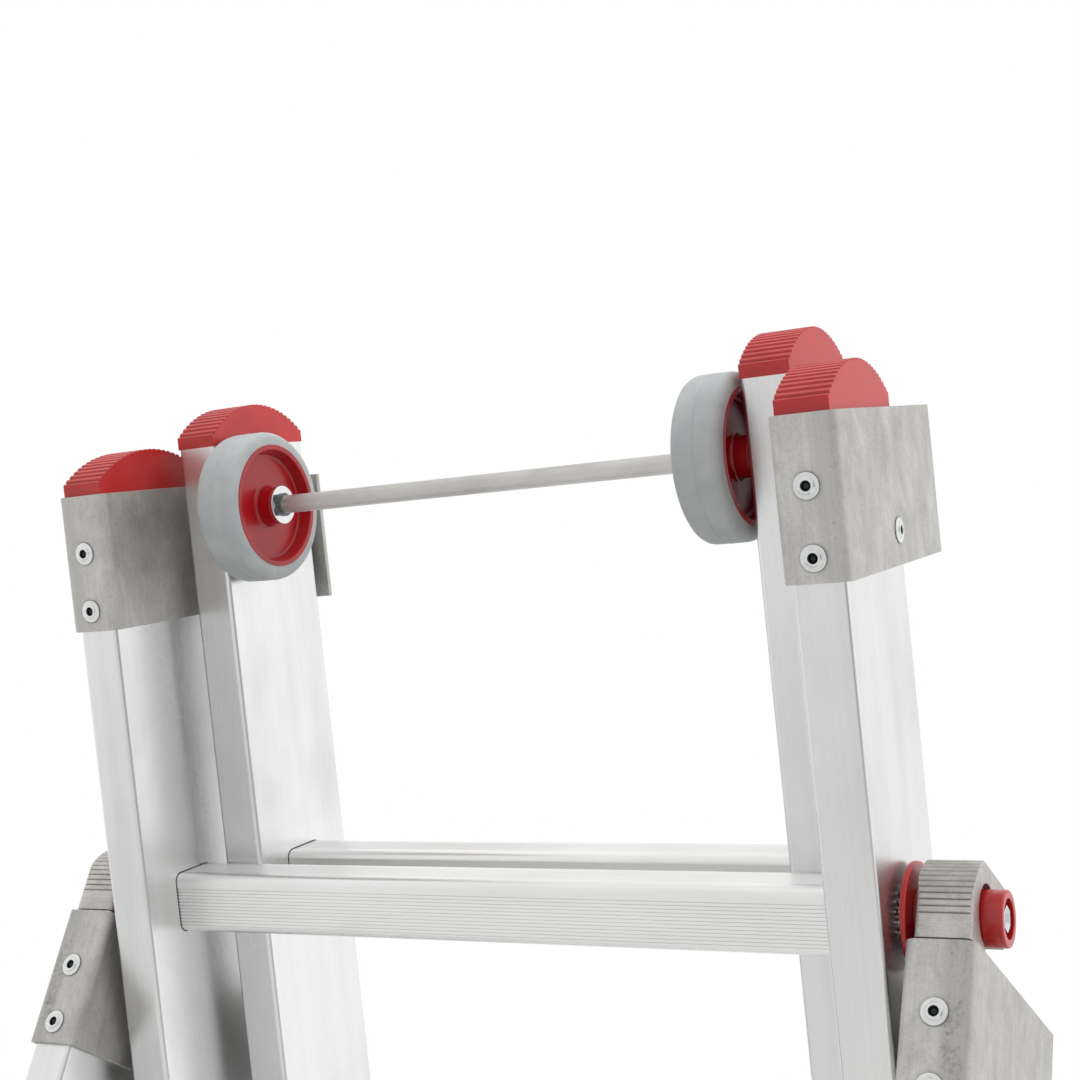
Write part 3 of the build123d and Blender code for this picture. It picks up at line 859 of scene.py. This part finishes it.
@dataclass
class HingeHead:
    """Hooked blocks of the stay on flanged bushes, each held by a bolt with a toothed washer under the flange.

    Attributes:
        stile: distance of the stile's outside from the ladder's middle.
        seat: distance of the bush's flange from the ladder's middle.
        disc_radius: radius of the flange.
        disc: thickness of the flange.
        sleeve_radius: radius of the sleeve.
        end: distance of the sleeve's end from the ladder's middle.
        recess_radius: radius of the recess in the sleeve's end.
        recess: depth of the recess.
        bore: radius of the hole for the bolt.
        flange_radius: radius of the bolt's flange.
        flange: thickness of the bolt's flange.
        flange_rim: thickness of the flange at its rim.
        step: radii of the step between the flange and the head, at its foot and its top.
        flats: width of the bolt's head across its flats.
        head: height of the bolt's head.
        chamfer: size of the head's chamfer.
        dish: depth of the dish in the head.
        shank: radius of the bolt's shank.
        edge: rounding of the blocks' edges.
        teeth: number of teeth on a lock washer.
        tooth_radius: radius of the teeth's tips.
        tooth: length of a tooth.
        toothed: thickness of a lock washer.
        spacer_radius: radius of the spacer between the lock washer and the flange.
    """

    stile: float = 215.5
    seat: float = 218.5
    disc_radius: float = 24.5
    disc: float = 2.8
    sleeve_radius: float = 12.6
    end: float = 260.4
    recess_radius: float = 8.85
    recess: float = 7.5
    bore: float = 4.2
    flange_radius: float = 7.6
    flange: float = 1.5
    flange_rim: float = 1.1
    step: Pair = (6.3, 5.6)
    flats: float = 10.5
    head: float = 5.0
    chamfer: float = 1.3
    dish: float = 0.5
    shank: float = 4.0
    edge: float = 0.3
    teeth: int = 24
    tooth_radius: float = 17.0
    tooth: float = 2.2
    toothed: float = 1.0
    spacer_radius: float = 11.0

    def build(self) -> None:
        """Makes the hinge's pieces on both sides."""
        for side in Side:
            self.turn_bush(side)
            self.drive_bolt(side)
            self.saw_block(side)
        self.stack_washers()
        dress("hinge_anchors", BLOCK)

    def axis(self, side: Side) -> Matrix:
        """Gives the hinge's axis on one side, from the ladder's middle outwards."""
        return Matrix.Translation(hinge_point()) @ along(side.outward)

    def turn_bush(self, side: Side) -> None:
        """Makes a flanged bush with a recess in its end for the bolt.

        Args:
            side: side of the ladder that it is on.
        """
        face, floor = self.seat + self.disc, self.end - self.recess
        profile = [
            Corner(self.seat, self.bore), Corner(self.seat, self.disc_radius, 0.4), Corner(face, self.disc_radius, 0.8),
            Corner(face, self.sleeve_radius, 0.5), Corner(self.end, self.sleeve_radius, 0.9),
            Corner(self.end, self.recess_radius, 0.5), Corner(floor, self.recess_radius, 0.4), Corner(floor, self.bore),
        ]
        node = f"{side.label}_hinge_bush"
        fit(set_in(turned(profile), self.axis(side)), f"{node}_moulding", RED_BUSH, "middle_section", (node,))

    def drive_bolt(self, side: Side) -> None:
        """Makes a flanged hexagon bolt.

        Args:
            side: side of the ladder that it is on.
        """
        node = f"{side.label}_hinge_bolt"
        low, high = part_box(node)
        near = min(abs(low[0]), abs(high[0])) / MM
        seat = self.end - self.recess
        rim, top = seat + self.flange_rim, seat + self.flange
        profile = [
            Corner(near, 0.0), Corner(near, self.shank, 0.5), Corner(seat, self.shank),
            Corner(seat, self.flange_radius, 0.2), Corner(rim, self.flange_radius, 0.4), Corner(rim, self.step[0], 0.3),
            Corner(top, self.step[1], 0.2), Corner(top, 0.0),
        ]
        lift = Matrix.Translation((0, 0, top * MM))
        crown = hexagon(self.flats, self.head, self.chamfer, self.dish)
        pieces = [set_in(turned(profile, 64), self.axis(side)), set_in(crown, self.axis(side) @ lift)]
        fit(joined(pieces), f"{node}_piece", BOLT_ZINC, "middle_section", (node,), crease=30.0)

    def saw_block(self, side: Side) -> None:
        """Makes a hooked block, with the edges of sawn bar broken."""
        node = f"stay_{side.label}_hinge_block"
        fit(copied(node, self.edge, above=32.0), f"{node}_bar", BLOCK, "stay_section", (node,))

    def cut_teeth(self) -> BMesh:
        """Cuts a lock washer with twisted teeth, lying on the ground.

        Returns:
            The washer.
        """
        # Each tooth has four points: two on its tip and one in the valley on each side.
        shape = bmesh.new()
        outer = bmesh.ops.create_circle(shape, radius=self.tooth_radius * MM, segments=4 * self.teeth)["verts"]
        inner = bmesh.ops.create_circle(shape, radius=self.bore * MM, segments=4 * self.teeth)["verts"]
        valleys = [vert for count, vert in enumerate(outer) if count % 4 in (0, 3)]
        bmesh.ops.scale(shape, verts=valleys, vec=Vector((1, 1, 1)) * (1 - self.tooth / self.tooth_radius))
        ring = bmesh.ops.bridge_loops(shape, edges=list(shape.edges))["faces"]
        raised = bmesh.ops.extrude_face_region(shape, geom=ring)["geom"]
        verts = [item for item in raised if isinstance(item, BMVert)]
        bmesh.ops.translate(shape, verts=verts, vec=(0, 0, self.toothed * MM))
        shape.verts.ensure_lookup_table()
        tips = [vert for vert in shape.verts if vert.co.to_2d().length > (self.tooth_radius - 0.1) * MM]
        step = math.tau / self.teeth
        # One corner of each tip is bent up, which twists the tooth.
        ahead = [vert for vert in tips if (math.atan2(vert.co.y, vert.co.x) % step) < step / 2]
        bmesh.ops.translate(shape, verts=ahead, vec=(0, 0, 0.5 * self.toothed * MM))
        bmesh.ops.recalc_face_normals(shape, faces=shape.faces)
        return shape

    def stack_washers(self) -> None:
        """Makes a thin toothed washer on each stile, with a spacer up to the flange."""
        spacer = collar(self.stile + self.toothed, self.seat, self.bore, self.spacer_radius)
        lift = Matrix.Translation((0, 0, self.stile * MM))
        shapes = []
        for side in Side:
            shapes.append(set_in(turned(spacer, 48), self.axis(side)))
            shapes.append(set_in(self.cut_teeth(), self.axis(side) @ lift))
        node = "hinge_lock_washers"
        fit(joined(shapes), "hinge_toothed_washers", BOLT_ZINC, "middle_section", (node,), crease=20.0)


@dataclass
class Rollers:
    """Two wheels at the top section's head, on an axle with a washer and a retaining ring beside each wheel.

    Attributes:
        radius: radius of the tyre.
        bore: radius of the tyre's bore.
        tyre_half: half the tyre's width.
        shoulder: rounding of the tyre's shoulders.
        parting: height of the tyre's parting line.
        parting_half: half the width of the parting line.
        half: half the rim's width.
        rim: radius of the rim under the tyre.
        lip: radius of the rim's lip on the inside.
        web: radius of the web.
        web_half: half the web's thickness.
        hub_base: radius of the hub at the web.
        hub: radius of the hub's ends.
        hub_inner: distance of the hub's inner end from the wheel's middle.
        hub_outer: distance of the hub's outer end from the wheel's middle.
        hub_edge: rounding of the hub's ends.
        hub_fillet: rounding between the hub and the web.
        web_fillet: rounding between the web and the rim.
        lip_edge: rounding of the rim's lips.
        hole: radius of the hole for the axle.
        axle: radius of the axle.
        washer_radius: radius of the hub washers.
        washer: thickness of the hub washers.
        ring_radius: radius of the retaining rings.
        ring: thickness of the retaining rings.
        ring_grip: how far a retaining ring reaches into the axle's groove.
        lug_radius: radius of a retaining ring's lugs.
        lug_hole: radius of the hole in a lug.
        lug_sink: how far a lug reaches into the washer.
        lug_angle: half the angle between a retaining ring's lugs, in degrees.
        ring_turn: turn of the retaining rings from the front, downwards, in degrees.
    """

    radius: float = 40.8
    bore: float = 33.55
    tyre_half: float = 12.45
    shoulder: float = 5.0
    parting: float = 0.15
    parting_half: float = 0.25
    half: float = 12.75
    rim: float = 33.5
    lip: float = 30.9
    web: float = 28.8
    web_half: float = 5.85
    hub_base: float = 10.5
    hub: float = 10.0
    hub_inner: float = -15.15
    hub_outer: float = 15.35
    hub_edge: float = 0.8
    hub_fillet: float = 2.2
    web_fillet: float = 1.0
    lip_edge: float = 0.45
    hole: float = 4.98
    axle: float = 4.9
    washer_radius: float = 10.5
    washer: float = 1.5
    ring_radius: float = 6.4
    ring: float = 1.4
    ring_grip: float = 0.2
    lug_radius: float = 2.4
    lug_hole: float = 1.25
    lug_sink: float = 0.1
    lug_angle: float = 33.0
    ring_turn: float = 12.0

    def build(self) -> None:
        """Makes the wheels, then what holds them."""
        for side in Side:
            self.mould_tyre(side)
            self.mould_rim(side)
        self.turn_axle()
        self.fit_washers()
        self.fit_rings()

    def axis(self, side: Side) -> Matrix:
        """Gives a wheel's axis, away from the ladder's middle."""
        return Matrix.Translation(joint_point(f"{side.label}_wheel_turn")) @ along(side.outward)

    def mould_tyre(self, side: Side) -> None:
        """Makes a solid tyre with round shoulders and a faint parting line.

        Args:
            side: side of the ladder that it is on.
        """
        half, seam = self.tyre_half, self.parting_half
        profile = [
            Corner(-half, self.bore), Corner(-half, self.radius, self.shoulder), Corner(-seam, self.radius),
            Corner(0.0, self.radius + self.parting), Corner(seam, self.radius),
            Corner(half, self.radius, self.shoulder), Corner(half, self.bore),
        ]
        node = f"{side.label}_wheel_tyre"
        shape = set_in(turned(profile, 128), self.axis(side))
        fit(shape, f"{node}_moulding", RUBBER, f"{side.label}_wheel", (node,))

    def mould_rim(self, side: Side) -> None:
        """Makes a dished rim: lip, web and a hub that flares into the web.

        Args:
            side: side of the ladder that it is on.
        """
        profile = [
            Corner(self.hub_inner, self.hole), Corner(self.hub_inner, self.hub, self.hub_edge),
            Corner(-self.web_half, self.hub_base, self.hub_fillet), Corner(-self.web_half, self.web, self.web_fillet),
            Corner(-self.half, self.lip, self.lip_edge), Corner(-self.half, self.rim), Corner(self.half, self.rim),
            Corner(self.half, self.lip, self.lip_edge), Corner(self.web_half, self.web, self.web_fillet),
            Corner(self.web_half, self.hub_base, self.hub_fillet), Corner(self.hub_outer, self.hub, self.hub_edge),
            Corner(self.hub_outer, self.hole),
        ]
        node = f"{side.label}_wheel_rim"
        shape = set_in(turned(profile, 128), self.axis(side))
        fit(shape, f"{node}_moulding", RED_GLOSS, f"{side.label}_wheel", (node,))

    def turn_axle(self) -> None:
        """Makes the axle, round all along."""
        low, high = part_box("wheel_axle")
        profile = collar(low[0] / MM, high[0] / MM, 0.0, self.axle, (0.4, 0.4))
        fit(set_in(turned(profile, 64), self.across()), "wheel_axle_bar", AXLE, "top_section", ("wheel_axle",))

    def across(self) -> Matrix:
        """Gives the axle's line, from the left to the right."""
        wheel = joint_point("right_wheel_turn")
        return Matrix.Translation((0, wheel.y, wheel.z)) @ along(Side.RIGHT.outward)

    def fit_washers(self) -> None:
        """Makes the bright washers beside the hubs."""
        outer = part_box("hub_washers")[1][0] / MM
        profile = collar(outer - self.washer, outer, self.hole, self.washer_radius, (0.35, 0.35))
        shapes = [set_in(turned(profile, 64), side @ self.across()) for side in self.both()]
        fit(joined(shapes), "hub_washer_pair", ZINC, "top_section", ("hub_washers",))

    def both(self) -> tuple[Matrix, Matrix]:
        """Gives the right side and its mirror image."""
        return Matrix.Identity(4), Matrix.Scale(-1, 4, Vector((1, 0, 0)))

    def fit_rings(self) -> None:
        """Makes the dark retaining rings that hold the washers, each with two lugs that have a hole for pliers."""
        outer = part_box("hub_nuts")[1][0] / MM
        inner = outer - self.ring
        grip, foot = self.hole - self.ring_grip, inner - self.lug_sink
        band = collar(inner, outer, grip, self.ring_radius, (0.2, 0.0))
        lug = [
            Corner(foot, 0.0), Corner(foot, self.lug_radius), Corner(outer, self.lug_radius, 0.2),
            Corner(outer, self.lug_hole), Corner(inner, self.lug_hole), Corner(inner, 0.0),
        ]
        shapes = []
        for side in self.both():
            shapes.append(set_in(turned(band, 48), side @ self.across()))
            for turn in (self.ring_turn - self.lug_angle, self.ring_turn + self.lug_angle):
                swing = Matrix.Rotation(math.radians(turn), 4, "X") @ Matrix.Translation((0, -self.ring_radius * MM, 0))
                wheel = self.across()
                seat = Matrix.Translation(wheel.to_translation()) @ swing @ wheel.to_3x3().to_4x4()
                shapes.append(set_in(turned(lug, 24), side @ seat))
        fit(joined(shapes), "hub_retaining_rings", SPRING_STEEL, "top_section", ("hub_nuts",), crease=30.0)


@dataclass
class RungHooks:
    """Swinging hooks of the top section and the pins that they turn on.

    Attributes:
        edge: rounding of the hooks' edges.
        pin_edge: rounding of the pins' heads.
    """

    edge: float = 0.6
    pin_edge: float = 0.6

    def build(self) -> None:
        """Makes the hooks and pins."""
        for side in Side:
            node = f"{side.label}_rung_hook"
            fit(copied(node, self.edge, above=50.0), f"{node}_plate", ZINC, f"{side.label}_hook", (node,))
        pins = copied("hook_pins", self.pin_edge, above=60.0)
        fit(pins, "hook_pin_pair", ZINC, "top_section", ("hook_pins",))


@dataclass(frozen=True)
class Outlook:
    """A side of the studio that metal shows brighter or darker.

    Attributes:
        side: direction of that side.
        reach: cosines of the angles from it at which the change starts and is full.
        levels: levels at those angles.
    """

    side: Triple
    reach: Pair
    levels: Pair

    def level(self, tree: NodeTree, toward: NodeSocket) -> NodeSocket:
        """Gives the level in a direction.

        Args:
            tree: node tree of the world or floor.
            toward: direction from the ladder, of length one.

        Returns:
            The level.
        """
        fill = {0: toward, 1: Vector(self.side).normalized()}
        facing = add_node(tree, "ShaderNodeVectorMath", fill, operation="DOT_PRODUCT")["Value"]
        fill = {"Value": facing, "From Min": self.reach[0], "From Max": self.reach[1]}
        fill |= {"To Min": self.levels[0], "To Max": self.levels[1]}
        return add_node(tree, "ShaderNodeMapRange", fill, interpolation_type="SMOOTHSTEP")[0]


@dataclass
class Studio:
    """Floor, light and camera of the picture.

    Attributes:
        floor_radius: radius of the floor, in metres.
        fade_start: distance from the ladder at which the floor starts to fade to white, in metres.
        fade_end: distance at which it is white, in metres.
        floor_tone: colour of the floor as sRGB hex.
        floor_rough: roughness of the floor.
        ambient: light from all round on dull surfaces.
        front: what metal shows of the white studio, with a greyer side where the picture is taken from.
        screen: share that a dark screen beside it leaves.
        window: what metal shows besides of a brighter side.
        head_back: distance of the ladder's head behind the frame's origin, in metres.
        eye: place of the camera, in metres.
        gaze: direction in which it looks.
        lens: focal length for a 36 mm sensor, in millimetres.
    """

    floor_radius: float = 14.0
    fade_start: float = 2.2
    fade_end: float = 6.0
    floor_tone: str = "#E9E9E8"
    floor_rough: float = 0.8
    ambient: float = 0.76
    front: Outlook = Outlook((0.3, -0.95, 0.0), (0.0, 0.9), (1.0, 0.8))
    screen: Outlook = Outlook((0.93, -0.35, 0.0), (0.84, 0.99), (1.0, 0.4))
    window: Outlook = Outlook((0.85, 0.53, 0.0), (0.72, 0.98), (0.0, 0.1))
    head_back: float = 0.1
    eye: Triple = (0.4486, -0.6787, 1.6909)
    gaze: Triple = (-0.4719, 0.8676, 0.1570)
    lens: float = 57.70

    def build(self) -> None:
        """Makes everything round the ladder."""
        self.lay_floor()
        self.light_world()
        self.hang_lamp("overhead", place=(-0.3, 0.2, 4.3), target=(0.0, 0.15, 1.6), size=3.2, power=50.0)
        self.hang_lamp("right", place=(3.4, 0.5, 2.3), target=(0.0, 0.1, 1.6), size=2.4, power=46.0)
        self.place_camera()
        bpy.context.scene.view_settings.view_transform = "Standard"

    def room(self, tree: NodeTree, toward: NodeSocket) -> NodeSocket:
        """Gives what metal shows of the studio in a direction of length one."""
        fill = {i: part.level(tree, toward) for i, part in enumerate((self.front, self.screen, self.window))}
        return add_node(tree, "ShaderNodeMath", fill, operation="MULTIPLY_ADD")[0]

    def lay_floor(self) -> None:
        """Makes the pale floor, which fades to white far from the ladder."""
        shape = bmesh.new()
        bmesh.ops.create_circle(shape, cap_ends=True, radius=self.floor_radius, segments=96)
        mesh = meshed(shape, "floor")
        floor = stand("floor", mesh)
        # Matt painted floor: pale, and white far away, so that no edge shows.
        material = bpy.data.materials.new("pale floor")
        material.use_nodes = True
        tree = material.node_tree
        shader = tree.nodes["Principled BSDF"]
        shader.inputs["Base Color"].default_value = linear(self.floor_tone)
        shader.inputs["Roughness"].default_value = self.floor_rough
        where = add_node(tree, "ShaderNodeTexCoord")["Object"]
        far = add_node(tree, "ShaderNodeVectorMath", {0: where}, operation="LENGTH")["Value"]
        fill = {"Value": far, "From Min": self.fade_start, "From Max": self.fade_end}
        fade = add_node(tree, "ShaderNodeMapRange", fill, interpolation_type="SMOOTHSTEP")[0]
        rays = add_node(tree, "ShaderNodeLightPath")
        fill = {0: rays["Is Camera Ray"], 1: rays["Is Transmission Ray"]}
        direct = add_node(tree, "ShaderNodeMath", fill, operation="MAXIMUM")[0]
        seen = add_node(tree, "ShaderNodeMath", {0: direct, 1: rays["Is Glossy Ray"]}, operation="MAXIMUM")[0]
        share = add_node(tree, "ShaderNodeMath", {0: fade, 1: seen}, operation="MULTIPLY")[0]
        middle = (0.0, self.head_back, self.eye[2])
        away = add_node(tree, "ShaderNodeVectorMath", {0: where, 1: middle}, operation="SUBTRACT")[0]
        toward = add_node(tree, "ShaderNodeVectorMath", {0: away}, operation="NORMALIZE")[0]
        fill = {0: direct, 2: self.room(tree, toward), 3: 1.0}
        level = add_node(tree, "ShaderNodeMix", fill, data_type="FLOAT")[0]
        white = add_node(tree, "ShaderNodeEmission", {"Strength": level})[0]
        mixed = add_node(tree, "ShaderNodeMixShader", {0: share, 1: shader.outputs[0], 2: white})[0]
        tree.links.new(mixed, tree.nodes["Material Output"].inputs["Surface"])
        mesh.materials.append(material)

    def light_world(self) -> None:
        """Makes a plain world: white to the camera, and a room with a grey front and a dark screen to metal."""
        world = bpy.data.worlds.new("studio")
        bpy.context.scene.world = world
        world.use_nodes = True
        tree = world.node_tree
        tree.nodes.clear()
        rays = add_node(tree, "ShaderNodeLightPath")
        toward = add_node(tree, "ShaderNodeTexCoord")["Generated"]
        fill = {0: rays["Is Glossy Ray"], 2: self.ambient, 3: self.room(tree, toward)}
        level = add_node(tree, "ShaderNodeMix", fill, data_type="FLOAT")[0]
        fill = {0: rays["Is Camera Ray"], 1: rays["Is Transmission Ray"]}
        clear = add_node(tree, "ShaderNodeMath", fill, operation="MAXIMUM")[0]
        shown = add_node(tree, "ShaderNodeMix", {0: clear, 2: level, 3: 1.0}, data_type="FLOAT")[0]
        sky = add_node(tree, "ShaderNodeBackground", {"Strength": shown, "Color": linear("#FFFFFF")})[0]
        add_node(tree, "ShaderNodeOutputWorld", {"Surface": sky})

    def hang_lamp(self, name: str, place: Triple, target: Triple, size: float, power: float) -> None:
        """Hangs a square soft light that metal doesn't show, because the room round it is in the world.

        Args:
            name: name of the lamp.
            place: its middle, in metres.
            target: point it faces, in metres.
            size: length of its sides in metres.
            power: its power in watts.
        """
        data = bpy.data.lights.new(name, "AREA")
        data.size = size
        data.energy = power
        lamp = stand(name, data)
        lamp.visible_glossy = False
        self.aim(lamp, place, Vector(target) - Vector(place))

    def aim(self, item: Object, place: Triple, facing: Vector) -> None:
        """Puts a lamp or the camera in its place and turns it to what it faces.

        Args:
            item: the lamp or the camera.
            place: its place, in metres.
            facing: direction that it faces.
        """
        item.location = place
        item.rotation_mode = "QUATERNION"
        item.rotation_quaternion = facing.to_track_quat("-Z", "Y")

    def place_camera(self) -> None:
        """Puts the camera where the picture was taken: in front, to the right, just above the hinge, looking up."""
        data = bpy.data.cameras.new("camera")
        data.lens = self.lens
        data.sensor_width = 36.0
        data.clip_start = 0.01
        camera = stand("camera", data)
        self.aim(camera, self.eye, Vector(self.gaze))
        bpy.context.scene.camera = camera


def main() -> None:
    """Dresses the ladder and sets up the picture."""
    logging.basicConfig(level=logging.INFO, format="%(message)s")
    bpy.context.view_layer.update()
    Studio().build()
    LadderSection("middle", STILE, ("cap", "foot")).build()
    LadderSection("top", STILE, ("cap", "foot")).build()
    LadderSection("stay", STAY_STILE, ("foot",)).build()
    GuideBrackets("middle", Lean.REAR, half_width=215.5, stile_middle=203.0, front=-40.0, top=228.0).build()
    GuideBrackets("stay", Lean.STAY, half_width=251.0, stile_middle=238.5, front=-25.3, top=-18.7, soil=0.9).build()
    HingeHead().build()
    Rollers().build()
    RungHooks().build()


if __name__ == "__main__":
    main()
